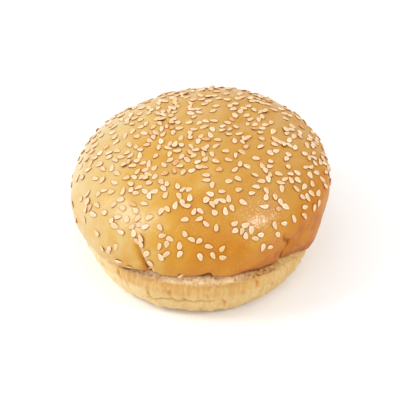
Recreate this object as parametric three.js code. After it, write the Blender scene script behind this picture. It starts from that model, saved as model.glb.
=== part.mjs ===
// A whole sesame burger bun: one baked loaf of bread with hulled sesame seeds stuck on its crown.
// Millimetres, +Z up. The origin is the middle of the flat underside, and -Y is the side where the
// crease between crown and heel stands highest.
import * as THREE from 'three';

// ---- Driving dimensions ----
const CROWN_RADIUS = 52;
const BUN_HEIGHT = 1.052 * CROWN_RADIUS;
const CREASE_RADIUS = 0.88 * CROWN_RADIUS;
const RIM_RADIUS = 0.94 * CROWN_RADIUS;
const HEEL_FOOT_RADIUS = 0.84 * CROWN_RADIUS;
const FOOT_ROUNDING = 0.055 * CROWN_RADIUS;
const UNDERSIDE_RADIUS = 0.77 * CROWN_RADIUS;
const LEDGE_RISE = 0.06 * CROWN_RADIUS;
const RIM_ROUNDING = 1.5;
const RIM_ROUNDED_SHARE = 0.2; // the top fifth of the heel's side is rounded into the ledge
const SEED_LENGTH = 3.3;
const SEED_WIDTH = 2.05;
const SEED_THICKNESS = 0.95;
const SEED_COUNT = 59;
const SEED_CLEARANCE = 0.28;

// ---- How finely the solids are faceted ----
const BREAD_SIDES = 90;
const DOME_RINGS = 17;
const SHOULDER_RINGS = 7;
const LEDGE_RINGS = 2;
const HEEL_RINGS = 5;
const FOOT_RINGS = 3;
const UNDERSIDE_RINGS = 2;
const SEED_SIDES = 8;
const SEED_RINGS = 5;

// ---- Shape of the crown ----
const DOME_FULLNESS = 2.23; // 2 is an ellipse, more is squarer
const SHOULDER_FULLNESS = 2.65;
const OVAL = 0.022; // the crown is this share longer along its long axis, and shorter across it
const OVAL_DIRECTION = 0.52;
const CROWN_SHIFT = new THREE.Vector2(0.4, 1.6); // how far the crown sits off the middle of the heel
const LOBES = [
  { count: 3, start: 0.6, swelling: 0.006 },
  { count: 5, start: 2.1, swelling: 0.004 },
];
const SWELL_HEIGHT = 0.35;

// ---- Heights that change round the bun ----
const CREASE_HEIGHT = 0.324 * CROWN_RADIUS;
const CREASE_FRONT_RISE = 0.062 * CROWN_RADIUS; // the crease stands higher in front than behind
const CREASE_SIDE_DROP = 0.072 * CROWN_RADIUS; // and lower on the left and right
const CREASE_SKEW = 0.015 * CROWN_RADIUS;
const WIDEST_HEIGHT = 0.61 * CROWN_RADIUS;
const WIDEST_SIDE_RISE = 0.081 * CROWN_RADIUS; // the crown is widest higher up on its +X side
const WIDEST_FRONT_RISE = 0.01 * CROWN_RADIUS;

// ---- Shape of the heel and the ledge ----
const HEEL_SIDE_HEIGHT = 0.4 * CROWN_RADIUS;
const HEEL_WRINKLES = { count: 9, depth: 0.3 };
const LEDGE_CURVE = 0.85; // below 1, the ledge climbs fastest at the rim

// A fold is a pinch in the crown's lower edge where two lobes of dough meet.
// at and width are angles in degrees, depth is in millimetres, and reach is how far it climbs the crown.
const FOLDS = [
  { at: -112, width: 3.6, depth: 1.6, reach: 0.5 },
  { at: -87, width: 2.8, depth: 1.3, reach: 0.24 },
  { at: -51, width: 3.2, depth: 1.6, reach: 0.47 },
  { at: 27, width: 5.5, depth: 1.5, reach: 0.5 },
  { at: 96, width: 4.4, depth: 1.7, reach: 0.45 },
  { at: 158, width: 6.0, depth: 1.3, reach: 0.5 },
];

const radians = THREE.MathUtils.degToRad;

// One lobe of the crown hangs out over the heel as a blunt corner, and next to it the shoulder is slack.
const CORNER_AT = radians(-28);
const CORNER_WIDTH = radians(7);
const CORNER_SQUARENESS = 2.2;
const CORNER_OVERHANG = 1.6;
const SLACK_AT = radians(-6);
const SLACK_WIDTH = radians(17);
const SLACK = 0.75;

function bell(distance, width) {
  return Math.exp(-((distance / width) ** 2));
}

// The shortest way round from one angle to another, in radians.
function angleBetween(a, b) {
  return Math.atan2(Math.sin(a - b), Math.cos(a - b));
}

function creaseHeight(angle) {
  const sides = CREASE_SKEW * Math.sin(2 * angle) - CREASE_SIDE_DROP * Math.cos(2 * angle);
  return CREASE_HEIGHT + sides - CREASE_FRONT_RISE * Math.sin(angle);
}

function widestHeight(angle) {
  return WIDEST_HEIGHT + WIDEST_SIDE_RISE * Math.cos(angle) - WIDEST_FRONT_RISE * Math.sin(angle);
}

function widestRadius(angle) {
  let share = 1 + OVAL * Math.cos(2 * (angle - OVAL_DIRECTION));
  for (const { count, start, swelling } of LOBES) {
    share += swelling * Math.sin(count * angle + start);
  }
  return CROWN_RADIUS * share;
}

// How deep the folds cut at this angle, at rise above the crease (0 at the crease, 1 at the top).
function foldDepth(angle, rise) {
  let depth = 0;
  for (const fold of FOLDS) {
    const across = bell(angleBetween(angle, radians(fold.at)), radians(fold.width));
    const fade = Math.max(0, 1 - rise / fold.reach);
    depth += fold.depth * across * fade;
  }
  return depth;
}

// Broad shallow swells and hollows of the crown, in millimetres.
function swell(angle, rise) {
  const round = Math.sin(4 * angle + 1.3 + 3 * rise) + 0.7 * Math.sin(7 * angle - 0.8 - 4 * rise);
  return SWELL_HEIGHT * round * Math.sin(Math.PI * rise);
}

// ---- Sections of the bread ----
// tilt runs from -90 degrees at the crease, through 0 at the widest place, to 90 degrees at the top.
function crownPoint(angle, tilt) {
  const low = creaseHeight(angle);
  const middle = widestHeight(angle);
  const wide = widestRadius(angle);
  const rise = (tilt + Math.PI / 2) / Math.PI;
  const corner = bell(angleBetween(angle, CORNER_AT), CORNER_WIDTH);
  const slack = SLACK * bell(angleBetween(angle, SLACK_AT), SLACK_WIDTH);
  let radius;
  let height;
  if (tilt < 0) {
    const power = 2 / (SHOULDER_FULLNESS - slack + CORNER_SQUARENESS * corner);
    const inner = CREASE_RADIUS + CORNER_OVERHANG * corner;
    radius = inner + (wide - inner) * Math.cos(tilt) ** power;
    height = middle - (middle - low) * Math.sin(-tilt) ** power;
  } else {
    const power = 2 / DOME_FULLNESS;
    const climb = Math.sin(tilt) ** power;
    radius = wide * Math.max(0, Math.cos(tilt)) ** power;
    height = middle + (BUN_HEIGHT - middle) * climb;
  }
  const shrink = foldDepth(angle, rise) - swell(angle, rise);
  radius -= shrink * Math.min(1, radius / CREASE_RADIUS);
  const x = CROWN_SHIFT.x + radius * Math.cos(angle);
  const y = CROWN_SHIFT.y + radius * Math.sin(angle);
  return new THREE.Vector3(x, y, height);
}

// share runs from 0 just above the foot to 1 at the rounded rim.
function heelPoint(angle, share) {
  const rim = creaseHeight(angle) - LEDGE_RISE;
  const height = FOOT_ROUNDING + (rim - FOOT_ROUNDING) * share;
  const bulge = Math.sin((Math.PI / 2) * Math.min(1, height / HEEL_SIDE_HEIGHT));
  const wrinkle = HEEL_WRINKLES.depth * Math.sin(HEEL_WRINKLES.count * angle + 1) * Math.sin(Math.PI * share);
  const nearRim = Math.max(0, 1 - (1 - share) / RIM_ROUNDED_SHARE);
  const rounded = RIM_ROUNDING * nearRim ** 2;
  const radius = HEEL_FOOT_RADIUS + (RIM_RADIUS - HEEL_FOOT_RADIUS) * bulge + wrinkle - rounded;
  return new THREE.Vector3(radius * Math.cos(angle), radius * Math.sin(angle), height);
}

// The ledge runs in from the heel's rim to the crease, where the crown begins.
function ledgePoint(angle, share) {
  const rim = heelPoint(angle, 1);
  const crease = crownPoint(angle, -Math.PI / 2);
  const point = rim.clone().lerp(crease, share);
  point.z = THREE.MathUtils.lerp(rim.z, crease.z, share ** LEDGE_CURVE);
  return point;
}

function footPoint(angle, share) {
  const turn = (Math.PI / 2) * share;
  const radius = UNDERSIDE_RADIUS + (HEEL_FOOT_RADIUS - UNDERSIDE_RADIUS) * Math.cos(turn);
  const height = FOOT_ROUNDING * (1 - Math.sin(turn));
  return new THREE.Vector3(radius * Math.cos(angle), radius * Math.sin(angle), height);
}

function undersidePoint(angle, share) {
  const radius = UNDERSIDE_RADIUS * (1 - share);
  return new THREE.Vector3(radius * Math.cos(angle), radius * Math.sin(angle), 0);
}

// Every ring of the bread from the top down, as a function of the angle.
function breadRings() {
  const rings = [];
  for (let i = 0; i < DOME_RINGS; i++) {
    const tilt = (Math.PI / 2) * (1 - i / DOME_RINGS);
    rings.push((angle) => crownPoint(angle, tilt));
  }
  for (let i = 0; i < SHOULDER_RINGS; i++) {
    const tilt = (-Math.PI / 2) * (i / SHOULDER_RINGS);
    rings.push((angle) => crownPoint(angle, tilt));
  }
  for (let i = 0; i < LEDGE_RINGS; i++) {
    const share = 1 - i / LEDGE_RINGS;
    rings.push((angle) => ledgePoint(angle, share));
  }
  for (let i = 0; i < HEEL_RINGS; i++) {
    const share = 1 - i / HEEL_RINGS;
    rings.push((angle) => heelPoint(angle, share));
  }
  for (let i = 0; i < FOOT_RINGS; i++) {
    rings.push((angle) => footPoint(angle, i / FOOT_RINGS));
  }
  for (let i = 0; i <= UNDERSIDE_RINGS; i++) {
    rings.push((angle) => undersidePoint(angle, i / UNDERSIDE_RINGS));
  }
  return rings;
}

// A sphere's rows of points, moved onto the bread's own rings, keep it one closed skin.
function breadGeometry() {
  const rings = breadRings();
  const geometry = new THREE.SphereGeometry(1, BREAD_SIDES, rings.length - 1);
  const place = geometry.attributes.position;
  const columns = BREAD_SIDES + 1;
  for (let i = 0; i < place.count; i++) {
    const ring = rings[Math.floor(i / columns)];
    const angle = ((i % columns) % BREAD_SIDES) * ((2 * Math.PI) / BREAD_SIDES);
    const point = ring(angle);
    place.setXYZ(i, point.x, point.y, point.z);
  }
  geometry.computeVertexNormals();
  return geometry;
}

// ---- Sesame seeds ----
// A seed lies flat in its own XY plane with its point towards +X, and is blunt at the other end.
function seedGeometry() {
  const geometry = new THREE.SphereGeometry(0.5, SEED_SIDES, SEED_RINGS);
  geometry.rotateZ(-Math.PI / 2);
  const place = geometry.attributes.position;
  for (let i = 0; i < place.count; i++) {
    const along = place.getX(i);
    const taper = 1 - 0.55 * along - 0.5 * along * along;
    const x = along * SEED_LENGTH;
    const y = place.getY(i) * SEED_WIDTH * taper;
    const z = place.getZ(i) * SEED_THICKNESS * taper;
    place.setXYZ(i, x, y, z);
  }
  geometry.computeVertexNormals();
  return geometry;
}

// The crown's outward direction, from two short steps along the skin.
function crownNormal(angle, tilt) {
  const step = radians(1.2);
  const here = crownPoint(angle, tilt);
  const round = crownPoint(angle + step, tilt).sub(here);
  const up = crownPoint(angle, tilt + step).sub(here);
  return round.cross(up).normalize();
}

// The seeds' angles and heights step by powers of the plastic number, so they fill the crown evenly
// and no two seeds meet. Their headings step by the golden ratio.
const PLASTIC_NUMBER = 1.32471795724;
const GOLDEN_RATIO = 1.61803398875;
const HIGHEST_TILT = radians(82);
const TILT_SPREAD = radians(85.5);
const TILT_CROWDING = 0.62; // below 1, fewer seeds lie near the top, where there is less room

function seedPlace(index) {
  const angle = 2 * Math.PI * ((0.31 + index / PLASTIC_NUMBER) % 1);
  const share = (0.5 + index / PLASTIC_NUMBER ** 2) % 1;
  const turn = 2 * Math.PI * ((0.2 + index / GOLDEN_RATIO) % 1);
  const tilt = HIGHEST_TILT - TILT_SPREAD * share ** TILT_CROWDING;
  return { angle, tilt, turn };
}

function placeSeed(seed, index) {
  const { angle, tilt, turn } = seedPlace(index);
  const normal = crownNormal(angle, tilt);
  const along = new THREE.Vector3(0, 0, 1).cross(normal).normalize().applyAxisAngle(normal, turn);
  const across = normal.clone().cross(along);
  const turned = new THREE.Matrix4().makeBasis(along, across, normal);
  seed.quaternion.setFromRotationMatrix(turned);
  const lift = SEED_THICKNESS * 0.55 + SEED_CLEARANCE;
  seed.position.copy(crownPoint(angle, tilt)).addScaledVector(normal, lift);
}

// ---- The bun ----
const crustMaterial = new THREE.MeshStandardMaterial({ color: 0xd99a45, roughness: 0.42, metalness: 0 });
const seedMaterial = new THREE.MeshStandardMaterial({ color: 0xf0dcae, roughness: 0.5, metalness: 0 });

const group = new THREE.Group();

const bread = new THREE.Mesh(breadGeometry(), crustMaterial);
bread.name = 'bun';
group.add(bread);

const sesame = seedGeometry();
for (let i = 0; i < SEED_COUNT; i++) {
  const seed = new THREE.Mesh(sesame, seedMaterial.clone());
  seed.name = `sesame_seed_${String(i + 1).padStart(2, '0')}`;
  placeSeed(seed, i);
  group.add(seed);
}

export default group;
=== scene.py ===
"""A whole sesame burger bun on a pale table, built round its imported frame."""

import math

import bpy
import numpy as np
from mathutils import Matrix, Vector, noise
from mathutils.bvhtree import BVHTree


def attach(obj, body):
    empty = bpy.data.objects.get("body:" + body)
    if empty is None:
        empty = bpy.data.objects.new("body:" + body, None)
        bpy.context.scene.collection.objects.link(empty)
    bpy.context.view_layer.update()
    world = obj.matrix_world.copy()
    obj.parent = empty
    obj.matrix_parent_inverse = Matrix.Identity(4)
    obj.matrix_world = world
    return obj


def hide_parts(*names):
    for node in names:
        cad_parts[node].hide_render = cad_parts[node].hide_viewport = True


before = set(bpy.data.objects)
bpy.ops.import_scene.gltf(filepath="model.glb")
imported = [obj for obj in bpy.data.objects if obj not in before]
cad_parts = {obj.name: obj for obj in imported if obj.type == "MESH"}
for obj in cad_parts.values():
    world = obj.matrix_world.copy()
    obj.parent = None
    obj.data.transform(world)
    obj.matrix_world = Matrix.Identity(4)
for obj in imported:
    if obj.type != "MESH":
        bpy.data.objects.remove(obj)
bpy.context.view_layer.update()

# ---------------------------------------------------------------------------------------------
# The bread: one piece of white dough, proved, egg-washed and baked. It has a domed crown with a
# thin crust, a pinched crease where the crown swelled out over the heel, the soft pale side of
# the heel, which met no wash, and the flat underside that lay on the hot tray.
# ---------------------------------------------------------------------------------------------
# Sizes are in millimetres, and MM turns them into metres.
MM = 0.001
CROWN_RADIUS = 52.0
BUN_HEIGHT = 1.052 * CROWN_RADIUS
CREASE_RADIUS = 0.88 * CROWN_RADIUS
RIM_RADIUS = 0.94 * CROWN_RADIUS
FOOT_RADIUS = 0.84 * CROWN_RADIUS
FOOT_ROUNDING = 0.055 * CROWN_RADIUS
UNDERSIDE_RADIUS = 0.77 * CROWN_RADIUS
LEDGE_RISE = 0.06 * CROWN_RADIUS
LEDGE_RISE_AT_SIDES = 0.02 * CROWN_RADIUS
RIM_ROUNDING = 1.5
# The share of the heel's height where it starts to round over to the rim, and the share left.
RIM_STARTS = 0.8
RIM_TAKES = 0.2
# Under 1, the ledge rises more steeply next to the rim than next to the crease.
LEDGE_CURVE = 0.85
DOME_FULLNESS = 2.23
SHOULDER_FULLNESS = 2.65
OVAL = 0.022
OVAL_DIRECTION = 0.52
CROWN_SHIFT = (0.4, 1.6)
HEEL_SIDE_HEIGHT = 0.4 * CROWN_RADIUS
# How high the crease and the widest place lie, and how much they sway, in crown radii.
CREASE_LEVEL = 0.324
CREASE_FRONT_RISE = 0.062
CREASE_SIDE_DROP = 0.072
CREASE_TWIST = 0.015
WIDEST_LEVEL = 0.61
WIDEST_RIGHT_RISE = 0.081
WIDEST_FRONT_RISE = 0.01
# How far the three broad lobes and the five small ones stand out, in crown radii.
BROAD_LOBES = 0.006
SMALL_LOBES = 0.004
# How much the skin sways in and out between the folds, the crease up and down, and the heel.
CROWN_SWELL = 0.35
CREASE_WAVER = 0.4
HEEL_WRINKLE = 0.3
# The ledge stands clear of the heel's rim in front, at this angle and over this width.
LEDGE_FRONT_AT = math.radians(-92)
LEDGE_FRONT_WIDTH = math.radians(34)

# Folds where two lobes of the crown meet. at and width are degrees, and drift is how many degrees a
# fold turns as it climbs. bow is a bend in it: how many degrees, how far up, and how long. depth,
# lift of the lip, step from one lobe in to the other, and drop of the one lobe's lip below the
# other's are millimetres. reach is how far it climbs.
FOLDS = (
    dict(at=-110.5, drift=-4.5, bow=(-4, 0.6, 0.08), width=1.0, depth=2.6,
         lift=0.5, step=0.8, drop=-0.3, reach=0.61),
    dict(at=-87.0, drift=3, bow=(0, 0.2, 0.1), width=1.1, depth=2.6,
         lift=0.9, step=0.2, drop=0.1, reach=0.33),
    dict(at=-48.0, drift=-2.0, bow=(3.6, 0.42, 0.045), width=1.0, depth=2.8,
         lift=0.2, step=0.4, drop=1.0, reach=0.53),
    dict(at=27.0, drift=8, bow=(3, 0.4, 0.1), width=1.8, depth=2.8,
         lift=1.2, step=0.6, drop=0.3, reach=0.52),
    dict(at=96.0, drift=-5, bow=(-2, 0.35, 0.1), width=1.5, depth=3.0,
         lift=1.0, step=-0.6, drop=-0.4, reach=0.45),
    dict(at=158.0, drift=6, bow=(3, 0.4, 0.08), width=1.9, depth=2.4,
         lift=0.9, step=0.5, drop=0.4, reach=0.50),
)
# A fold is a sharp pinch in a shallow valley. Beside it one lobe's edge lies further in, and at
# its foot one lobe's lip hangs lower. The smaller a fade, the longer that stays deep as it climbs.
PINCH_BLUNTNESS = math.radians(0.15)
PINCH_FADE = 0.3
VALLEY_WIDTH = math.radians(7)
VALLEY_SHARE = 0.25
INNER_EDGE_WIDTH = math.radians(9)
INNER_EDGE_FADE = 0.5
HANGING_WIDTH = math.radians(10)
HANGING_EDGE = math.radians(0.8)
# One lobe hangs out over the heel as a blunt corner, and next to it the shoulder is slack.
CORNER_AT = math.radians(-28)
CORNER_WIDTH = math.radians(7)
CORNER_SQUARENESS = 2.2
CORNER_OVERHANG = 1.6
SLACK_AT = math.radians(-6)
SLACK_WIDTH = math.radians(17)
SLACK = 0.75


def bell(distance, width):
    """1 at no distance, fading out over this width."""
    return np.exp(-((distance / width) ** 2))


def smooth_step(low, high, value):
    """0 up to low and 1 past high, with an even sweep between."""
    t = np.clip((value - low) / (high - low), 0, 1)
    return t * t * (3 - 2 * t)


def angle_between(a, b):
    return np.arctan2(np.sin(a - b), np.cos(a - b))


def smooth_crease_height(angle):
    """The crease is highest in front and lowest at the two sides."""
    sway = CREASE_TWIST * np.sin(2 * angle) - CREASE_SIDE_DROP * np.cos(2 * angle)
    sway = sway - CREASE_FRONT_RISE * np.sin(angle)
    return CROWN_RADIUS * (CREASE_LEVEL + sway)


def crease_height(angle):
    waver = CREASE_WAVER * np.sin(11 * angle + 0.4) * np.sin(4 * angle + 1)
    height = smooth_crease_height(angle) + waver
    for fold in FOLDS:
        away = angle_between(angle, math.radians(fold["at"]))
        height = height + fold["lift"] * bell(away, math.radians(2 * fold["width"]))
        hang = np.exp(-np.abs(away) / HANGING_WIDTH) * np.tanh(away / HANGING_EDGE)
        height = height + fold["drop"] * hang
    return height


def rim_height(angle):
    """The heel's rim keeps close under the crease at the sides, and stands clear of it in front."""
    front = bell(angle_between(angle, LEDGE_FRONT_AT), LEDGE_FRONT_WIDTH)
    rise = LEDGE_RISE_AT_SIDES + (LEDGE_RISE - LEDGE_RISE_AT_SIDES) * front
    return smooth_crease_height(angle) - rise


def widest_height(angle):
    level = WIDEST_LEVEL + WIDEST_RIGHT_RISE * np.cos(angle) - WIDEST_FRONT_RISE * np.sin(angle)
    return CROWN_RADIUS * level


def widest_radius(angle):
    oval = OVAL * np.cos(2 * (angle - OVAL_DIRECTION))
    lobes = BROAD_LOBES * np.sin(3 * angle + 0.6) + SMALL_LOBES * np.sin(5 * angle + 2.1)
    return CROWN_RADIUS * (1 + oval + lobes)


def fold_shape(fold, angle, rise):
    """A fold's pinch, where two lobes touch, its shallow valley, and its inner lobe's edge."""
    bend, bend_at, bend_width = fold["bow"]
    degrees = fold["at"] + fold["drift"] * rise + bend * bell(rise - bend_at, bend_width)
    away = angle_between(angle, math.radians(degrees))
    fade = np.clip(1 - rise / fold["reach"], 0, 1)
    touch = np.sqrt(away**2 + PINCH_BLUNTNESS**2) / math.radians(fold["width"])
    pinch = np.exp(-touch) * fade**PINCH_FADE
    valley = bell(away, VALLEY_WIDTH) * fade
    inner = np.exp(-np.abs(away) / INNER_EDGE_WIDTH) * (away < 0) * fade**INNER_EDGE_FADE
    return pinch, valley, inner


def fold_depth(angle, rise):
    """How far the folds set the skin back."""
    depth = 0
    for fold in FOLDS:
        pinch, valley, inner = fold_shape(fold, angle, rise)
        depth = depth + fold["depth"] * (pinch + VALLEY_SHARE * valley) + fold["step"] * inner
    return depth


def swell(angle, rise):
    """How far the skin stands out between the folds."""
    waves = np.sin(4 * angle + 1.3 + 3 * rise) + 0.7 * np.sin(7 * angle - 0.8 - 4 * rise)
    return CROWN_SWELL * waves * np.sin(np.pi * rise)


def in_row(angle, radius, height, shift=(0.0, 0.0)):
    """One ring of the skin: a point at each of these angles."""
    x = shift[0] + radius * np.cos(angle)
    y = shift[1] + radius * np.sin(angle)
    return np.stack(np.broadcast_arrays(x, y, height), -1)


def crown_point(angle, tilt):
    """tilt runs from -90 degrees at the crease, through 0 at the widest place, to 90 on top."""
    middle, wide = widest_height(angle), widest_radius(angle)
    rise = (tilt + np.pi / 2) / np.pi
    corner = bell(angle_between(angle, CORNER_AT), CORNER_WIDTH)
    if tilt <= 0:
        slack = SLACK * bell(angle_between(angle, SLACK_AT), SLACK_WIDTH)
        power = 2 / (SHOULDER_FULLNESS - slack + CORNER_SQUARENESS * corner)
        inner = CREASE_RADIUS + CORNER_OVERHANG * corner
        radius = inner + (wide - inner) * math.cos(tilt) ** power
        height = middle - (middle - crease_height(angle)) * math.sin(-tilt) ** power
    else:
        power = 2 / DOME_FULLNESS
        radius = wide * abs(math.cos(tilt)) ** power
        height = middle + (BUN_HEIGHT - middle) * math.sin(tilt) ** power
    shrink = fold_depth(angle, rise) - swell(angle, rise)
    radius = radius - shrink * np.minimum(1, radius / CREASE_RADIUS)
    return in_row(angle, radius, height, CROWN_SHIFT)


def heel_point(angle, share):
    """share 0 is just above the foot, and 1 is the rim under the ledge."""
    height = FOOT_ROUNDING + (rim_height(angle) - FOOT_ROUNDING) * share
    bulge = np.sin(np.pi / 2 * np.minimum(1, height / HEEL_SIDE_HEIGHT))
    radius = FOOT_RADIUS + (RIM_RADIUS - FOOT_RADIUS) * bulge
    wrinkle = HEEL_WRINKLE * np.sin(9 * angle + 1) * math.sin(math.pi * share)
    over_the_rim = max(0, (share - RIM_STARTS) / RIM_TAKES)
    rounded = RIM_ROUNDING * over_the_rim**2
    return in_row(angle, radius + wrinkle - rounded, height)


def ledge_point(angle, share):
    """share 0 is the rim, and 1 is the crease."""
    rim, crease = heel_point(angle, 1), crown_point(angle, -math.pi / 2)
    point = rim + (crease - rim) * share
    point[:, 2] = rim[:, 2] + (crease[:, 2] - rim[:, 2]) * share**LEDGE_CURVE
    return point


def foot_point(angle, share):
    turn = math.pi / 2 * share
    radius = UNDERSIDE_RADIUS + (FOOT_RADIUS - UNDERSIDE_RADIUS) * math.cos(turn)
    return in_row(angle, radius, FOOT_ROUNDING * (1 - math.sin(turn)))


def underside_point(angle, share):
    return in_row(angle, UNDERSIDE_RADIUS * (1 - share), 0.0)


# The skin is a net of rings from the top of the crown to the middle of the underside.
# Each band has its name, its rings, its point function, and the first and last value it takes.
SKIN_COLUMNS = 708
# The columns are this much closer together at the folds, over this width. The crowding follows a
# fold's drift as it stands this far up the crown.
CROWDING = 3
CROWDING_WIDTH = math.radians(4)
CROWDING_RISE = 0.3
TRIAL_ANGLES = 7200
SKIN_BANDS = (
    ("dome", 54, crown_point, math.pi / 2, 0.0),
    ("shoulder", 28, crown_point, 0.0, -math.pi / 2),
    ("ledge", 10, ledge_point, 1.0, 0.0),
    ("heel", 32, heel_point, 1.0, 0.0),
    ("foot", 6, foot_point, 0.0, 1.0),
    ("underside", 9, underside_point, 0.0, 1.0),
)


def column_angles():
    """The net's columns stand closer together where the folds are."""
    even = np.linspace(0, 2 * np.pi, TRIAL_ANGLES, endpoint=False)
    crowding = 1
    for fold in FOLDS:
        middle = math.radians(fold["at"] + CROWDING_RISE * fold["drift"])
        crowding = crowding + CROWDING * bell(angle_between(even, middle), CROWDING_WIDTH)
    share = np.cumsum(crowding)
    return np.interp(np.arange(SKIN_COLUMNS) / SKIN_COLUMNS, share / share[-1], even)


def skin_net():
    angle = column_angles()
    rings = []
    for _, count, place, first, last in SKIN_BANDS:
        for i in range(count):
            rings.append(place(angle, first + (last - first) * i / count))
    return np.array(rings)


def band_rows(name):
    """The first row of a band and the row after its last."""
    start = 0
    for band, count, *_ in SKIN_BANDS:
        if band == name:
            return start, start + count
        start += count


def net_normals(net):
    """The way the skin looks at each point."""
    round_way = np.roll(net, -1, 1) - np.roll(net, 1, 1)
    down_way = np.gradient(net, axis=0)
    normal = np.cross(down_way, round_way)
    return normal / np.maximum(np.linalg.norm(normal, axis=2, keepdims=True), 1e-9)


def unevenness(net, size, octaves, seed):
    """Soft uneven noise with lumps of this size in millimetres, between about -1 and 1."""
    shift = Vector((seed * 7.31, seed * 3.17, seed * 5.53))
    spots = net.reshape(-1, 3) / size
    softness, step_finer = 0.9, 2.0
    values = [noise.fractal(Vector(p) + shift, softness, step_finer, octaves) for p in spots]
    return np.array(values).reshape(net.shape[:2])


def lumps_on(net, *sorts):
    """Lumps laid over each other. A sort has its height, its size, its octaves and its seed."""
    return sum(high * unevenness(net, size, octaves, seed) for high, size, octaves, seed in sorts)


def along_rows(first, last):
    """1 on the rows from first up to last, with a short ramp at both ends, and 0 elsewhere."""
    row = np.arange(sum(band[1] for band in SKIN_BANDS))
    rows_of_ramp = 2.0
    nearest_end = np.minimum(row - first + rows_of_ramp, last - row + rows_of_ramp)
    return np.clip(nearest_end / rows_of_ramp, 0, 1)[:, None]


net = skin_net()
outward = net_normals(net)
angle_round = np.arctan2(net[..., 1], net[..., 0])
crown_rows = along_rows(0, band_rows("shoulder")[1] - 3)
heel_rows = along_rows(band_rows("heel")[0], band_rows("foot")[0])
ledge_rows = along_rows(band_rows("ledge")[0] + 1, band_rows("ledge")[1])
under_rows = along_rows(band_rows("underside")[0] + 2, len(net) + 2)

# The crown: broad lumps where gas lifted the dough, and shallow dents and a few swellings up to a
# thumb's width across. They keep off the very top and off the crease.
DENT_COUNT = 60
DENT_ROWS = (8, band_rows("shoulder")[1] - 6)
DENT_REACH = (2.5, 7.0)
DENT_DEPTH = (-0.35, 0.8)
dent_dice = np.random.default_rng(11)
lumps = lumps_on(net, (0.8, 24, 1, 1), (0.36, 9, 2, 2), (0.12, 4.5, 1, 9))
for _ in range(DENT_COUNT):
    row = dent_dice.integers(*DENT_ROWS)
    column = dent_dice.integers(0, SKIN_COLUMNS)
    reach = dent_dice.uniform(*DENT_REACH)
    depth = dent_dice.uniform(*DENT_DEPTH)
    away = np.linalg.norm(net - net[row, column], axis=2)
    lumps = lumps - depth * bell(away, reach)
# The heel: soft upright puckers, short upright cracks and three level creases.
# A crack has its angle in degrees, and its height, half length and depth in millimetres.
HEEL_CRACKS = (
    (-78.0, 10.0, 3.6, 1.2), (-62.0, 16.5, 3.6, 1.3), (-131.0, 16.0, 4.4, 1.3),
    (-143.0, 11.0, 3.0, 0.9), (-126.0, 12.5, 3.2, 0.8), (-104.0, 15.0, 3.0, 0.9),
    (-97.0, 11.5, 2.4, 0.7), (-114.0, 12.0, 3.4, 0.9), (-69.0, 14.0, 2.4, 0.8),
    (-86.0, 14.5, 2.0, 0.6), (-52.0, 10.0, 2.2, 0.7), (-30.0, 9.0, 1.8, 0.7),
    (15.0, 7.5, 1.7, 0.8), (60.0, 8.0, 1.9, 0.8), (110.0, 8.0, 1.6, 0.8),
    (140.0, 8.0, 2.0, 0.7), (178.0, 8.5, 1.4, 0.6),
)
CRACK_WIDTH = 0.6
CRACK_LEAN = 0.25
CRACK_WAVER = 0.3
CRACK_SOFTENING = 0.8
# A level crease runs from one angle to another, and from one height to another, and has a depth.
LEVEL_CREASES = ((-119, -80, 8.6, 12.6, 0.9), (-168, -140, 6.5, 7.2, 0.6), (40, 84, 6.0, 5.0, 0.7))
LEVEL_CREASE_WIDTH = 0.42
LEVEL_WAVER = 0.35
LEVEL_SMALL_WAVER = 0.2


def heel_cuts(spots):
    """How deep the cracks and creases are at each spot, in millimetres."""
    angle, height = np.arctan2(spots[..., 1], spots[..., 0]), spots[..., 2]
    depth = 0
    for at, middle, half, deep in HEEL_CRACKS:
        along = angle_between(angle, math.radians(at)) * RIM_RADIUS
        along = along + CRACK_LEAN * (height - middle) + CRACK_WAVER * np.sin(1.3 * height + at)
        ends = bell((height - middle) / half, 1) ** 2
        depth = depth + CRACK_SOFTENING * deep * bell(along, CRACK_WIDTH) * ends
    for first, last, low, high, deep in LEVEL_CREASES:
        share = angle_between(angle, math.radians(first)) / math.radians(last - first)
        ends = smooth_step(0, 0.12, share) * smooth_step(1, 0.85, share)
        line = low + (high - low) * share
        line = line + LEVEL_WAVER * np.sin(9 * angle) + LEVEL_SMALL_WAVER * np.sin(23 * angle)
        depth = depth + deep * ends * bell(height - line, LEVEL_CREASE_WIDTH)
    return depth


DRAWN_UPRIGHT = (1, 1, 0.3)
side = lumps_on(net * DRAWN_UPRIGHT, (0.68, 3.2, 2, 3)) + lumps_on(net, (0.45, 10, 2, 4))
side = side - heel_cuts(net)
# The ledge: small torn crumbs.
mealy = lumps_on(net, (0.32, 1.1, 2, 5), (0.25, 4, 1, 7))
rough = crown_rows * lumps + heel_rows * side + ledge_rows * mealy
skin = net + outward * rough[..., None]
# Under the bun the dough lay on the tray, so it only lifts off the table here and there.
OFF_THE_TABLE = 0.25
skin[..., 2] += under_rows * OFF_THE_TABLE * np.clip(unevenness(net, 7, 2, 8), 0, 1)
skin[..., 2] = np.maximum(skin[..., 2], 0)


def rise_of_rows():
    """How far up the crown each row lies, from 0 at the crease to 1 on top, or -1 below it."""
    dome = np.linspace(1, 0.5, band_rows("dome")[1], endpoint=False)
    shoulder = np.linspace(0.5, 0, band_rows("shoulder")[1] - band_rows("dome")[1], endpoint=False)
    return np.concatenate([dome, shoulder, np.full(len(net) - band_rows("shoulder")[1], -1.0)])


def mesh_object(name, vertices, faces):
    mesh = bpy.data.meshes.new(name)
    mesh.from_pydata(np.asarray(vertices).tolist(), [], faces)
    mesh.update()
    mesh.polygons.foreach_set("use_smooth", [True] * len(mesh.polygons))
    made = bpy.data.objects.new(name, mesh)
    bpy.context.scene.collection.objects.link(made)
    return made


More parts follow.
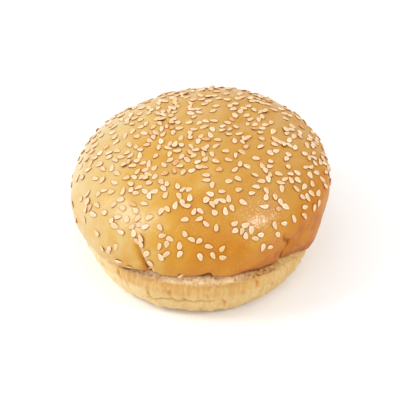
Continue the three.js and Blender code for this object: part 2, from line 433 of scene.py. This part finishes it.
def net_faces(rows, columns, top, bottom):
    """Quads between the rings, and a fan of triangles on the top point and on the bottom one."""
    i = np.arange(columns)
    k = (i + 1) % columns
    last = (rows - 1) * columns
    quads = []
    for j in range(rows - 1):
        a, b = j * columns, (j + 1) * columns
        quads += np.stack([a + i, b + i, b + k, a + k], 1).tolist()
    caps = np.stack([np.full(columns, top), i, k], 1).tolist()
    caps += np.stack([last + i, np.full(columns, bottom), last + k], 1).tolist()
    return quads + caps


def paint_points(made, name, values):
    """Lay a value on every point, under a name that a finish can ask for."""
    made.data.attributes.new(name, "FLOAT", "POINT").data.foreach_set("value", values)


# The first ring has shrunk to the top of the crown, so it becomes one point.
rings = skin[1:]
vertices = np.concatenate([rings.reshape(-1, 3), [skin[0].mean(0)], [[0.0, 0.0, 0.0]]])
faces = net_faces(len(rings), SKIN_COLUMNS, len(vertices) - 2, len(vertices) - 1)
bread = mesh_object("bun_bread", vertices * MM, faces)


def net_values(values, top, bottom):
    """The rings' values, then the top point's and the one in the middle of the underside."""
    return np.concatenate([np.broadcast_to(values, rings.shape[:2]).ravel(), [top, bottom]])


def near_angle(at, width):
    """1 at this angle round the bun, in degrees, fading out over this width."""
    return bell(angle_between(angle_round, math.radians(at)), math.radians(width))


RIGHT_SIDE_ENDS = 1.0


def past_angle(first, last):
    """0 before the first angle and 1 past the last, as far as the end of the right side."""
    passed = smooth_step(math.radians(first), math.radians(last), angle_round)
    return passed * (angle_round < RIGHT_SIDE_ENDS)


# How brown the crust is, from 0 to 1. It is browner to the right and to the front, along the lip,
# on the back and on the far left, and paler on the left, partly its own colour and partly painted sheen.
EVEN_BAKE = 0.40
BAKE_TO_RIGHT = 0.30
BAKE_TO_FRONT = 0.26
BAKE_ON_LIP = 0.29
LESS_ON_LEFT_LIP = 0.25
LESS_ON_LEFT = 0.16
BAKE_ON_BACK = 0.34
BAKE_ON_FAR_LEFT = 0.16
outward_now = net_normals(skin)[1:]
lip = smooth_step(0.15, -0.75, outward_now[..., 2])
turned_left = smooth_step(0.0, 0.75, -outward_now[..., 0])
turned_back = smooth_step(0.45, 0.95, outward_now[..., 1])
far_left = smooth_step(0.75, 0.98, -outward_now[..., 0])
browning = EVEN_BAKE + BAKE_TO_RIGHT * outward_now[..., 0] - BAKE_TO_FRONT * outward_now[..., 1]
browning = browning + (BAKE_ON_LIP - LESS_ON_LEFT_LIP * turned_left) * lip
# Paler on the left: partly its own colour and partly painted sheen.
browning = browning - LESS_ON_LEFT * turned_left + BAKE_ON_BACK * turned_back
browning = browning + BAKE_ON_FAR_LEFT * far_left
# The lobe left of the left fold is painted paler.
PALE_LOBE_AT = -124
PALE_LOBE_WIDTH = 13
PALE_LOBE_LESS = 0.12
browning = browning - PALE_LOBE_LESS * near_angle(PALE_LOBE_AT, PALE_LOBE_WIDTH)[1:]
paint_points(bread, "browning", net_values(browning, EVEN_BAKE, 0.5))
# The top is painted darker on its right half, as painted shade where the light falls less.
top_right_shade = smooth_step(0.55, 0.95, outward_now[..., 2]) * smooth_step(-0.35, 0.3, outward_now[..., 0])
paint_points(bread, "top_right_shade", net_values(top_right_shade, 0.5, 0))
# The folds are painted dark inside, as painted shade, down to a dark line where the two lobes touch.
fold_shade_line = np.zeros(net.shape[:2])
for row, rise in enumerate(rise_of_rows()):
    for fold in FOLDS:
        if 0 <= rise < fold["reach"]:
            pinch = fold_shape(fold, column_angles(), rise)[0]
            fold_shade_line[row] = np.maximum(fold_shade_line[row], smooth_step(0.2, 0.65, pinch))
paint_points(bread, "fold_shade_line", net_values(fold_shade_line[1:], 0, 0))
# The crown's underside is painted dark next to the crease, as painted shade under the lip, and less so on
# the right.
to_the_right = past_angle(-58, -44)
lip_shade = smooth_step(0.30, 0.16, rise_of_rows())[:, None] * (1 - 0.6 * to_the_right)
lip_shade[band_rows("ledge")[0] :] = 0
paint_points(bread, "lip_shade", net_values(lip_shade[1:], 0, 0))
# The egg wash pooled and dried glossy over this spot, where the skin is finely wrinkled. Its pale bubbles
# are painted lighter, partly their own colour and partly a painted highlight.
POOL_AT = math.radians(-58)
POOL_TILT = math.radians(31)
POOL_REACH = 8.5
pool_place = crown_point(np.array([POOL_AT]), POOL_TILT)[0]
pool = bell(np.linalg.norm(rings - pool_place, axis=2), POOL_REACH)
paint_points(bread, "pool", net_values(pool, 0, 0))

heel_share = np.clip(rings[..., 2] / rim_height(angle_round)[1:], 0, 1.2)
paint_points(bread, "heel_share", net_values(heel_share, 1.2, 0))
# The torn strip just under the crease is mealy and whitish in front, and tan and speckled elsewhere.
ledge_top, ledge_end = band_rows("ledge")
meal = along_rows(ledge_top + 2, ledge_end - 1) * (1 - 0.8 * to_the_right)
paint_points(bread, "meal", net_values(meal[1:], 0, 0))
round_front = np.abs(angle_between(angle_round, math.radians(-96)))
whitish = smooth_step(math.radians(38), math.radians(14), round_front)
paint_points(bread, "whitish", net_values(whitish[1:], 0, 0))
# A line of painted shade runs along the crease, under the lip. It is widest on the front left and in
# a notch under the short fold, and thin and faint on the right. Its width is a share of the ledge's.
SEAM_WIDTH = 0.30
SEAM_WIDER_IN_FRONT = 0.18
SEAM_WIDER_IN_NOTCH = 0.22
SEAM_THINNER_ON_RIGHT = 0.1
down_ledge = (np.arange(len(net)) - ledge_top)[:, None] / (ledge_end - ledge_top)
broad = near_angle(-106, 12)
notch = near_angle(-87, 2.0)
line_width = SEAM_WIDTH + SEAM_WIDER_IN_FRONT * broad + SEAM_WIDER_IN_NOTCH * notch
line_width = line_width - SEAM_THINNER_ON_RIGHT * to_the_right
seam_shade = smooth_step(line_width + 0.12, line_width - 0.08, down_ledge) * (down_ledge > -0.3)
fainter = 0.4 * past_angle(-80, -62)
seam_shade = seam_shade * (1 - fainter)
paint_points(bread, "seam_shade", net_values(seam_shade[1:], 0, 0))
# Below the strip the heel is tan in front. It is painted paler on its left, as painted light, and darker
# on its right, as painted shade.
tan_front = smooth_step(math.radians(52), math.radians(26), round_front)[1:]
tan = smooth_step(0.6, 0.8, heel_share) * smooth_step(1.13, 1.02, heel_share) * (0.12 + 0.88 * tan_front)
paint_points(bread, "tan", net_values(tan, 0, 0))
paint_points(bread, "painted_left_light", net_values(near_angle(-150, 34)[1:], 0, 0))
paint_points(bread, "painted_right_shade", net_values(smooth_step(0.1, 0.9, outward_now[..., 0]), 0, 0))
paint_points(bread, "cut", net_values(np.clip(heel_cuts(net)[1:] * heel_rows[1:], 0, 1), 0, 0))
paint_points(bread, "underside", net_values(under_rows[1:], 0, 1))


class Finish:
    """A material's nodes, wired in the order the finish is laid on."""

    def __init__(self, name):
        self.material = bpy.data.materials.new(name)
        self.material.use_nodes = True
        self.tree = self.material.node_tree
        self.shader = self.tree.nodes["Principled BSDF"]
        self.place = self.tree.nodes.new("ShaderNodeTexCoord").outputs["Object"]

    def node(self, kind, inputs=(), **settings):
        made = self.tree.nodes.new(kind)
        for key, value in settings.items():
            setattr(made, key, value)
        for socket, value in dict(inputs).items():
            self.feed(made.inputs[socket], value)
        return made

    def feed(self, socket, value):
        if isinstance(value, bpy.types.NodeSocket):
            self.tree.links.new(value, socket)
        else:
            socket.default_value = value

    def set(self, **values):
        for key, value in values.items():
            self.feed(self.shader.inputs[key.replace("_", " ")], value)

    def painted(self, name):
        """What paint_points laid on the mesh under this name."""
        return self.node("ShaderNodeAttribute", attribute_name=name).outputs["Fac"]

    def grain(self, size, detail, stretch=(1, 1, 1), rough=0.5, twist=0.0):
        """Noise with lumps of this size in millimetres."""
        scale = [1 / (size * MM * s) for s in stretch]
        moved = self.node("ShaderNodeMapping", {"Vector": self.place, "Scale": scale})
        noise_in = {"Vector": moved.outputs[0], "Scale": 1.0, "Detail": detail}
        noise_in.update({"Roughness": rough, "Distortion": twist})
        return self.node("ShaderNodeTexNoise", noise_in).outputs["Fac"]

    def cells(self, size):
        """How far each place is from the middle of its cell. The cells are this many millimetres wide."""
        placed = {"Vector": self.place, "Scale": 1 / (size * MM)}
        return self.node("ShaderNodeTexVoronoi", placed).outputs["Distance"]

    def soft_cells(self, size):
        """Cells that run into each other, like pebbled skin."""
        placed = {"Vector": self.place, "Scale": 1 / (size * MM)}
        made = self.node("ShaderNodeTexVoronoi", placed, feature="SMOOTH_F1")
        made.inputs["Smoothness"].default_value = 0.4
        return made.outputs["Distance"]

    def ranged(self, value, low, high, to_low=0.0, to_high=1.0):
        """The value spread from low to high over the other two, and held at them outside."""
        spread = {"Value": value, "From Min": low, "From Max": high, "To Min": to_low, "To Max": to_high}
        return self.node("ShaderNodeMapRange", spread).outputs["Result"]

    def sum_of(self, a, b, share):
        """a and this share of b."""
        scaled = {0: b, 1: share, 2: a}
        return self.node("ShaderNodeMath", scaled, operation="MULTIPLY_ADD").outputs[0]

    def product(self, a, b):
        return self.node("ShaderNodeMath", {0: a, 1: b}, operation="MULTIPLY").outputs[0]

    def colours(self, value, *stops):
        ramp = self.node("ShaderNodeValToRGB", {"Fac": value})
        points = ramp.color_ramp.elements
        while len(points) < len(stops):
            points.new(0.5)
        for point, (at, colour) in zip(points, stops):
            point.position = at
            point.color = (*linear(colour), 1)
        return ramp.outputs["Color"]

    def blend(self, share, under, over):
        """The over colour laid on the under one, covering this share of it."""
        made = self.node("ShaderNodeMix", data_type="RGBA")
        for name, value in (("Factor_Float", share), ("A_Color", under), ("B_Color", over)):
            socket = next(s for s in made.inputs if s.identifier == name)
            if isinstance(value, tuple):
                value = (*linear(value), 1)
            self.feed(socket, value)
        return next(s for s in made.outputs if s.identifier == "Result_Color")

    def shade(self, reach, dark, light):
        """1 in nooks where things touch within this reach in millimetres, and 0 in the open."""
        kind = "ShaderNodeAmbientOcclusion"
        nook = self.node(kind, {"Distance": reach * MM}, samples=8)
        return self.ranged(nook.outputs["AO"], dark, light, 1.0, 0.0)

    def relief(self, height, depth, strength=1.0, under=None):
        """Bump of this depth in millimetres, laid over another one if given."""
        inputs = {"Height": height, "Distance": depth * MM, "Strength": strength}
        if under is not None:
            inputs["Normal"] = under
        return self.node("ShaderNodeBump", inputs).outputs["Normal"]


def linear(colour):
    """A paint colour from 0 to 255 as the shader wants it."""
    return [(c / 255 / 12.92) if c <= 10 else ((c / 255 + 0.055) / 1.055) ** 2.4 for c in colour]


def crown_finish():
    """Golden crust under a coat of egg wash, matt where it is dry and glossy where the wash pooled."""
    f = Finish("crown_crust")
    patches = f.grain(26, 2)
    mottle = f.grain(6, 3)
    tone = f.sum_of(f.painted("browning"), f.ranged(patches, 0.3, 0.7, -0.5, 0.5), 0.26)
    tone = f.sum_of(tone, f.ranged(mottle, 0.3, 0.7, -0.5, 0.5), 0.12)
    baked = f.colours(
        tone,
        (0.0, (207, 183, 130)),
        (0.25, (204, 168, 96)),
        (0.45, (199, 149, 57)),
        (0.62, (195, 135, 36)),
        (0.85, (186, 113, 12)),
        (1.0, (164, 86, 5)),
    )
    # Painted shade on the right half of the top.
    baked = f.blend(f.product(f.painted("top_right_shade"), 0.5), baked, (180, 130, 64))
    pool = f.painted("pool")
    speck = f.ranged(f.grain(0.9, 2), 0.6, 0.75)
    baked = f.blend(f.product(speck, 0.3), baked, (228, 184, 110))
    # Pale bubbles where the wash pooled: partly their own colour and partly a painted highlight.
    blister_and_highlight = f.ranged(f.cells(1.0), 0.42, 0.2)
    baked = f.blend(f.product(f.product(blister_and_highlight, pool), 0.6), baked, (236, 194, 150))
    # Painted shade in the nooks round the seeds, in the folds and at the crease.
    baked = f.blend(f.product(f.shade(0.9, 0.35, 0.97), 0.95), baked, (142, 66, 12))
    # Painted shade under the lip.
    baked = f.blend(f.product(f.painted("lip_shade"), 0.85), baked, (110, 50, 14))
    # Painted shade in the folds.
    baked = f.blend(f.product(f.painted("fold_shade_line"), 0.92), baked, (142, 52, 6))
    f.set(Base_Color=baked)
    f.set(Roughness=f.ranged(f.grain(3, 3), 0.3, 0.7, 0.40, 0.52))
    pebble = f.relief(f.soft_cells(1.2), 0.16, 0.5)
    wrinkle = f.relief(f.grain(2.6, 3, twist=0.8), 0.35, 0.5, pebble)
    f.set(Normal=wrinkle)
    wet_wrinkle = f.relief(f.grain(2.4, 3, twist=1.5), 0.12, 0.6)
    f.set(Coat_Normal=f.relief(f.soft_cells(1.1), 0.11, 0.5, wet_wrinkle))
    f.set(Subsurface_Weight=0.12, Subsurface_Radius=(1.0, 0.45, 0.2), Subsurface_Scale=0.8 * MM)
    washed = f.ranged(tone, 0.1, 0.6, 0.6, 0.06)
    f.set(Coat_Weight=f.sum_of(washed, pool, 0.8), Coat_Roughness=f.ranged(pool, 0, 0.8, 0.27, 0.21))
    f.set(IOR=1.42, Specular_IOR_Level=0.22)
    return f.material


def heel_finish():
    """Bare soft dough: crumbs and strands, the torn meal, painted shade along the crease and in nooks,
    painted light on the left and painted shade on the right, and the browned underside.
    """
    f = Finish("heel_crumb")
    share = f.sum_of(f.painted("heel_share"), f.ranged(f.grain(5, 3), 0.3, 0.7, -0.5, 0.5), 0.14)
    side = f.colours(
        share,
        (0.0, (176, 128, 78)),
        (0.07, (204, 168, 108)),
        (0.25, (213, 182, 120)),
        (0.8, (215, 184, 122)),
    )
    golden_crumbs = f.ranged(f.grain(0.8, 3), 0.5, 0.66)
    side = f.blend(f.product(golden_crumbs, 0.5), side, (204, 146, 78))
    # Painted light on the heel's left.
    side = f.blend(f.product(f.painted("painted_left_light"), 0.85), side, (248, 228, 178))
    # Painted shade on the heel's right.
    side = f.blend(f.product(f.painted("painted_right_shade"), 0.6), side, (198, 156, 92))
    side = f.blend(f.product(f.painted("tan"), 0.9), side, (206, 156, 82))
    streaks = f.ranged(f.grain(1.5, 3, stretch=(1, 1, 7)), 0.42, 0.62)
    side = f.blend(f.product(streaks, 0.4), side, (228, 202, 150))
    patches = f.ranged(f.grain(9, 2), 0.42, 0.62)
    side = f.blend(f.product(patches, 0.3), side, (206, 168, 108))
    crumb_size = f.grain(1.3, 3)
    white_crumbs = (0.30, (208, 138, 80)), (0.40, (240, 200, 146)), (0.55, (255, 222, 174))
    tan_crumbs = (0.34, (146, 86, 38)), (0.46, (196, 144, 80)), (0.62, (214, 168, 104))
    white_meal = f.colours(crumb_size, *white_crumbs)
    tan_meal = f.colours(crumb_size, *tan_crumbs)
    side = f.blend(f.painted("meal"), side, f.blend(f.painted("whitish"), tan_meal, white_meal))
    # Painted shade along the crease, under the lip.
    side = f.blend(f.product(f.painted("seam_shade"), 0.9), side, (130, 48, 10))
    side = f.blend(f.product(f.painted("cut"), 0.9), side, (198, 120, 32))
    tray = f.colours(f.grain(5, 4), (0.3, (150, 96, 46)), (0.5, (176, 122, 64)), (0.7, (200, 152, 92)))
    side = f.blend(f.painted("underside"), side, tray)
    # Painted shade in the heel's nooks.
    side = f.blend(f.product(f.shade(0.6, 0.15, 0.6), 0.35), side, (160, 92, 32))
    f.set(Base_Color=side)
    f.set(Roughness=f.ranged(f.grain(2, 3), 0.3, 0.7, 0.72, 0.9), Specular_IOR_Level=0.25)
    crumb = f.relief(f.grain(0.9, 4, rough=0.6), 0.5, 0.8)
    strands = f.relief(f.grain(1.6, 3, stretch=(1, 1, 6)), 0.6, 0.7, crumb)
    f.set(Normal=strands)
    f.set(Subsurface_Weight=0.2, Subsurface_Radius=(1.0, 0.65, 0.4), Subsurface_Scale=1.2 * MM)
    return f.material


bread.data.materials.append(crown_finish())
bread.data.materials.append(heel_finish())
# The crust's finish ends at the last ring above the ledge. The net's faces end with the fan of
# triangles on the top and the one under the middle.
heel_from = (ledge_top - 2) * SKIN_COLUMNS
slots = np.zeros(len(faces), int)
slots[heel_from : len(faces) - 2 * SKIN_COLUMNS] = 1
slots[len(faces) - SKIN_COLUMNS :] = 1
bread.data.polygons.foreach_set("material_index", slots)
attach(bread, "root")
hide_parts("bun")

# ---------------------------------------------------------------------------------------------
# Sesame seeds, first the ones that stand in the frame. Each is a hulled white seed: a flat drop,
# blunt at one end and pointed at the other, with a raised rim round a shallow hollow. It was
# thrown on the egg wash before baking, and sits a little sunk in the crust.
# ---------------------------------------------------------------------------------------------
SEED_LENGTH = 3.05
SEED_WIDTH = 1.98
SEED_THICKNESS = 1.0
SEED_SIDES = 16
SEED_STEPS = 11
SEED_SUNK = 0.22
SEED_TAPER = 0.3
SEED_HOLLOW = 0.38
SEED_BEND = 0.12
SEED_SIZE_SPREAD = (0.08, 0.09, 0.1)
# A seed's middle stands this share of its thickness above the crust, less what it is sunk.
SEED_STANDS = 0.42
seed_dice = np.random.default_rng(5)
crust_surface = BVHTree.FromObject(bread, bpy.context.evaluated_depsgraph_get())


def seed_form():
    """One seed's points at the usual size, with its faces and its painted values."""
    along = -np.cos(np.linspace(0, np.pi, SEED_STEPS + 1))[1:-1, None]
    turn = np.linspace(0, 2 * np.pi, SEED_SIDES, endpoint=False)[None, :]
    widest = 1.04
    width = np.sqrt(1 - along**2) * (1 - SEED_TAPER * along) / widest
    top = np.clip(np.sin(turn), 0, 1)
    hollow = bell(np.cos(turn), 0.5) * (1 - along**2) * (top > 0)
    x = along * SEED_LENGTH / 2 + 0 * turn
    y = width * np.cos(turn) * SEED_WIDTH / 2
    z = width**0.8 * np.sin(turn) * SEED_THICKNESS / 2 * (1 - SEED_HOLLOW * hollow)
    body = np.stack([x, y, z], -1).reshape(-1, 3)
    ends = [(SEED_LENGTH / 2, 0, 0), (-SEED_LENGTH / 2, 0, 0)]
    form = np.concatenate([body, ends])
    middle = np.concatenate([hollow.ravel(), [0, 0]])
    # The lower edge, where the seed meets the crust, is painted brown: partly a browned edge and partly
    # painted shade.
    low = smooth_step(0.62, -0.3, np.sin(turn)) + 0 * x
    low = np.concatenate([low.ravel(), [0.7, 0.7]])
    skin_faces = net_faces(SEED_STEPS - 1, SEED_SIDES, len(form) - 1, len(form) - 2)
    return form, [f[::-1] for f in skin_faces], {"middle": middle, "low": low}


SEED_POINTS, SEED_FACES, SEED_PAINT = seed_form()


def turned(a, b, by):
    """Two directions that stand square to each other, both turned from a towards b."""
    return a * math.cos(by) + b * math.sin(by), b * math.cos(by) - a * math.sin(by)


def lay_seed(spot, heading, lift=0.0, lean=6.0):
    """The seed's points, lying on the crust nearest spot and pointing along heading."""
    ground, up, _, _ = crust_surface.find_nearest(Vector(spot) * MM)
    up = np.array(up)
    tip = np.array(heading) - up * np.dot(heading, up)
    tip = tip / np.linalg.norm(tip)
    across = np.cross(up, tip)
    pitch, roll = np.radians(seed_dice.normal(0, lean, 2))
    tip, up = turned(tip, up, pitch)
    across, up = turned(across, up, roll)
    form = SEED_POINTS * seed_dice.normal(1, SEED_SIZE_SPREAD)
    form[:, 1] += seed_dice.normal(0, SEED_BEND) * (form[:, 0] / SEED_LENGTH * 2) ** 2
    centre = np.array(ground) / MM + up * (SEED_THICKNESS * SEED_STANDS - SEED_SUNK + lift)
    return centre + form @ np.stack([tip, across, up])


def sesame_finish():
    """Ivory hull, darker in the hollow, and tan where toasted. Where it meets the crust it is painted
    brown, partly a browned edge and partly painted shade.
    """
    f = Finish("sesame")
    tone = f.painted("tone")
    ivory = f.colours(tone, (0.0, (222, 192, 144)), (0.5, (234, 210, 172)), (1.0, (244, 229, 202)))
    cloud = f.ranged(f.grain(1.3, 2), 0.4, 0.7)
    ivory = f.blend(f.product(cloud, 0.3), ivory, (212, 172, 112))
    kernel = f.blend(f.product(f.painted("middle"), 0.6), ivory, (208, 162, 108))
    toasted = f.blend(f.painted("toast"), kernel, (210, 152, 84))
    # Brown lower edge: partly a browned edge and partly painted shade.
    toasted = f.blend(f.product(f.painted("low"), 0.9), toasted, (170, 98, 32))
    f.set(Base_Color=toasted)
    f.set(Roughness=f.ranged(f.grain(0.8, 2), 0.3, 0.7, 0.4, 0.55))
    f.set(Normal=f.relief(f.grain(0.5, 3), 0.08, 0.6))
    f.set(Subsurface_Weight=0.15, Subsurface_Radius=(1.0, 0.7, 0.45), Subsurface_Scale=0.6 * MM)
    return f.material


sesame = sesame_finish()


def seeds_object(name, laid, tones, toasts):
    """One mesh of all the seeds in laid, each a closed body of its own."""
    step = len(SEED_POINTS)
    faces = [[v + step * i for v in face] for i in range(len(laid)) for face in SEED_FACES]
    made = mesh_object(name, np.concatenate(laid) * MM, faces)
    for key, values in SEED_PAINT.items():
        paint_points(made, key, np.tile(values, len(laid)))
    paint_points(made, "tone", np.repeat(tones, step))
    paint_points(made, "toast", np.repeat(toasts, step))
    made.data.materials.append(sesame)
    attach(made, "root")
    return made


def framed_seed(node):
    """Where the frame's seed lies, and the way its pointed end looks."""
    points = np.array([v.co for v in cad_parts[node].data.vertices]) / MM
    centre = (points.min(0) + points.max(0)) / 2
    tip = points[np.argmax(np.linalg.norm(points - points.mean(0), axis=1))]
    return centre, tip - centre


def seed_tone(count):
    """How pale each seed's ivory is, from 0 to 1."""
    return np.clip(seed_dice.normal(0.5, 0.25, count), 0, 1)


# How toasted a golden seed is and how toasted a pale one is, at least and at most.
GOLDEN_TOAST = (0.35, 0.9)
PALE_TOAST = (0, 0.12)


def seed_toast(count, share):
    """How toasted each seed is, where this share of them is golden."""
    is_golden = seed_dice.random(count) < share
    golden_toast = seed_dice.uniform(*GOLDEN_TOAST, count)
    pale_toast = seed_dice.uniform(*PALE_TOAST, count)
    return np.where(is_golden, golden_toast, pale_toast)


FRAMED_GOLDEN_SHARE = 0.04
framed_seeds = sorted(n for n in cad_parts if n.startswith("sesame_seed_"))
seed_spots = []
for node in framed_seeds:
    spot, heading = framed_seed(node)
    seed_spots.append(spot)
    kernel = [lay_seed(spot, heading)]
    tone = seed_tone(1)
    seed = seeds_object(node + "_kernel", kernel, tone, seed_toast(1, FRAMED_GOLDEN_SHARE))
    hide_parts(node)

# ---------------------------------------------------------------------------------------------
# The rest of the sprinkling, more of the same hulled seeds thrown on the wet egg wash from above.
# They lie thickest on top, thin out down the sides, and leave the skin that looks down bare. Some
# lie close beside a neighbour, and a seed that landed partly on another rests on it.
# ---------------------------------------------------------------------------------------------
SPRINKLED = 505
CLINGING_SHARE = 0.42
BEST_OF = 3
CLINGING_REACH = 1.8
# The middles of two seeds keep at least CLOSEST apart. A place nearer to a seed than RESTS_ON is
# taken only by this share of the seeds that come to it, and they rest on the other one.
CLOSEST = 1.9
RESTS_ON = 2.3
RESTS_SHARE = 0.3
RESTING_LIFT = 0.4
RESTING_LEAN = 12.0
FLAT_LEAN = 5.0
SPRINKLED_GOLDEN_SHARE = 0.05
# Skin that looks further down than this caught no seeds.
LOWEST_FACING = -0.15
# Bare and thick places on the crown: where they are, how wide, and how much thinner or thicker.
BARE_PLACES = (
    ((-40, -30, 35), 11, 0.85), ((-50, -10, 35), 10, 0.6), ((-10, -40, 45), 6, 0.8),
    ((0, -30, 50), 6, 0.9), ((-20, -45, 35), 7, 0.6), ((15, -45, 35), 9, 0.85),
    ((35, -35, 30), 10, 0.85), ((25, -35, 45), 5, 0.9), ((25, -10, 50), 6, 0.7),
    ((30, 15, 50), 6, 0.6),
)
THICK_PLACES = (((-15, -10, 55), 13, 0.5), ((5, 10, 55), 13, 0.4), ((40, -15, 45), 7, 0.7))
# A seed stays with the first chance on skin that looks sideways, and with both together on top.
STAYS_ON_SIDES = 0.015
STAYS_MORE_ON_TOP = 0.785
GUST_STRENGTH = 0.5
GUST_SIZE = 11
THINNEST = 0.08


def sprinkle_thickness(spot, up):
    """How likely a seed is to stay here, from 0 to 1."""
    if up[2] < LOWEST_FACING:
        return 0
    facing = STAYS_ON_SIDES + STAYS_MORE_ON_TOP * smooth_step(-0.05, 0.98, up[2])
    gust = 1 + GUST_STRENGTH * noise.noise(Vector(spot) / GUST_SIZE)
    for place, reach, thinner in BARE_PLACES:
        gust = gust - thinner * bell(np.linalg.norm(spot - np.array(place)), reach)
    for place, reach, thicker in THICK_PLACES:
        gust = gust + thicker * bell(np.linalg.norm(spot - np.array(place)), reach)
    return facing * max(gust, THINNEST)


def crown_spots():
    """Endless random places on the crown, even by area, each with its outward direction."""
    lowest_row = band_rows("shoulder")[1] - 9
    spots = skin[2:lowest_row]
    ups = net_normals(skin)[2:lowest_row]
    area = np.linalg.norm(np.cross(np.gradient(spots, axis=0), np.roll(spots, -1, 1) - spots), axis=2)
    share = np.cumsum(area.ravel()) / area.sum()
    while True:
        pick = np.unravel_index(np.searchsorted(share, seed_dice.random()), area.shape)
        yield spots[pick], ups[pick]


def sprinkle():
    """The points of all the sprinkled seeds."""
    laid, spots = [], list(seed_spots)
    places = crown_spots()

    def gap_at(spot):
        return np.min(np.linalg.norm(np.array(spots) - spot, axis=1))

    def likely_place():
        for spot, up in places:
            if seed_dice.random() < sprinkle_thickness(spot, up):
                return spot

    while len(laid) < SPRINKLED:
        if seed_dice.random() < CLINGING_SHARE:
            near = spots[seed_dice.integers(len(spots))]
            spot = near + seed_dice.normal(0, 1, 3) * CLINGING_REACH
            ground, up, _, _ = crust_surface.find_nearest(Vector(spot) * MM)
            spot = np.array(ground) / MM
            if seed_dice.random() > sprinkle_thickness(spot, up):
                continue
        else:
            spot = max((likely_place() for _ in range(BEST_OF)), key=gap_at)
        gap = gap_at(spot)
        rests = gap < RESTS_ON
        if gap < CLOSEST or (rests and seed_dice.random() > RESTS_SHARE):
            continue
        heading = seed_dice.normal(0, 1, 3)
        lift, lean = (RESTING_LIFT, RESTING_LEAN) if rests else (0.0, FLAT_LEAN)
        laid.append(lay_seed(spot, heading, lift, lean))
        spots.append(spot)
    return laid


# The dice start again here, so that the sprinkling doesn't hang on the seeds in the frame.
seed_dice = np.random.default_rng(5)
laid = sprinkle()
tones = seed_tone(len(laid))
toasts = seed_toast(len(laid), SPRINKLED_GOLDEN_SHARE)
golden = toasts >= GOLDEN_TOAST[0]
pale = [seed for seed, is_golden in zip(laid, golden) if not is_golden]
browned = [seed for seed, is_golden in zip(laid, golden) if is_golden]
seeds_object("sesame_sprinkled_pale", pale, tones[~golden], toasts[~golden])
seeds_object("sesame_sprinkled_toasted", browned, tones[golden], toasts[golden])

# ---------------------------------------------------------------------------------------------
# The lodged seeds, which rolled down the crown and were caught in its long folds and along the lip.
# In a fold they lie in line with it, and on the lip they lie along the crease, in the dried wash.
# ---------------------------------------------------------------------------------------------
LONG_FOLDS = [fold for fold in FOLDS if fold["reach"] > 0.4]
# The seeds along the lip, by their angle round the bun and their tilt, both in degrees. The tilt
# is 0 at the widest place and negative below it.
LIP_SEEDS = (
    (-135, 0), (-131, 4), (-126, -10), (-121, -20),
    (-98, -24), (40, -30), (83, -30), (131, -30),
)
# How far up a long fold its two seeds lie, as a share of the fold's reach.
LODGED_CLIMBS = (0.24, 0.6)
LODGED_LIFT = -0.1
LODGED_LEAN = 14.0
LODGED_GOLDEN_SHARE = 0.3


def lodged_places():
    """Where each lodged seed lies and the way it points."""
    for fold in LONG_FOLDS:
        for climb in LODGED_CLIMBS:
            rise = climb * fold["reach"]
            at = math.radians(fold["at"] + fold["drift"] * rise)
            tilt = rise * math.pi - math.pi / 2
            yield crown_point(np.array([at]), tilt)[0], (0.1, 0.1, 1.0)
    for at, tilt in LIP_SEEDS:
        round_way = (-math.sin(math.radians(at)), math.cos(math.radians(at)), 0.25)
        yield crown_point(np.array([math.radians(at)]), math.radians(tilt))[0], round_way


lodged = [lay_seed(spot, heading, LODGED_LIFT, LODGED_LEAN) for spot, heading in lodged_places()]
lodged_tones = seed_tone(len(lodged))
seeds_object("sesame_lodged", lodged, lodged_tones, seed_toast(len(lodged), LODGED_GOLDEN_SHARE))

# ---------------------------------------------------------------------------------------------
# The table, the lamps and the camera: a flat pale table, a broad soft lamp high on the left, a
# small one high on the right for the spark on the egg wash, and even light from all round.
# ---------------------------------------------------------------------------------------------
scene = bpy.context.scene
scene.view_settings.view_transform = "Standard"

# These sizes are in metres. The table lies a hair under the bun, so that the two never share a face.
TABLE_REACH = 3.0
HAIR = 0.0003
corners = [(x * TABLE_REACH, y * TABLE_REACH, 0.0) for x, y in ((-1, -1), (1, -1), (1, 1), (-1, 1))]
table = mesh_object("pale_table", corners, [(0, 1, 2, 3)])
table.location.z = -HAIR
table_finish = bpy.data.materials.new("table_paint")
table_finish.use_nodes = True
table_shader = table_finish.node_tree.nodes["Principled BSDF"]
table_shader.inputs["Base Color"].default_value = (0.96, 0.96, 0.96, 1)
table_shader.inputs["Roughness"].default_value = 0.8
table.data.materials.append(table_finish)

world = bpy.data.worlds.new("studio")
scene.world = world
world.use_nodes = True
all_round = world.node_tree.nodes["Background"]
all_round.inputs["Color"].default_value = (1, 1, 1, 1)
all_round.inputs["Strength"].default_value = 1.0


def lamp(name, place, aim, size, watts):
    light = bpy.data.lights.new(name, "AREA")
    light.shape = "DISK"
    light.size = size
    light.energy = watts
    made = bpy.data.objects.new(name, light)
    made.location = place
    made.rotation_euler = (Vector(aim) - Vector(place)).to_track_quat("-Z", "Y").to_euler()
    scene.collection.objects.link(made)


bun_middle = Vector((0.0, 0.0, BUN_HEIGHT * MM / 2))
lamp("key_lamp", (-0.62, -0.07, 0.65), bun_middle, 0.35, 3.2)
lamp("spark_lamp", (0.50, -0.30, 0.59), bun_middle, 0.12, 1.2)

CAMERA_ANGLE = math.radians(42)
CAMERA_DIP = math.radians(0.54)
CAMERA_DISTANCE = 9 * CROWN_RADIUS * MM
LENS_LENGTH = 102.2
aim = Vector((CROWN_SHIFT[0] * MM, CROWN_SHIFT[1] * MM, 0.5 * CROWN_RADIUS * MM))
lens = bpy.data.cameras.new("camera")
lens.lens = LENS_LENGTH
lens.clip_start = 0.01
lens.clip_end = 20
camera = bpy.data.objects.new("camera", lens)
camera.location = aim + Vector((0, -math.cos(CAMERA_ANGLE), math.sin(CAMERA_ANGLE))) * CAMERA_DISTANCE
sight = Vector((0, math.cos(CAMERA_ANGLE + CAMERA_DIP), -math.sin(CAMERA_ANGLE + CAMERA_DIP)))
camera.rotation_euler = sight.to_track_quat("-Z", "Y").to_euler()
scene.collection.objects.link(camera)
scene.camera = camera
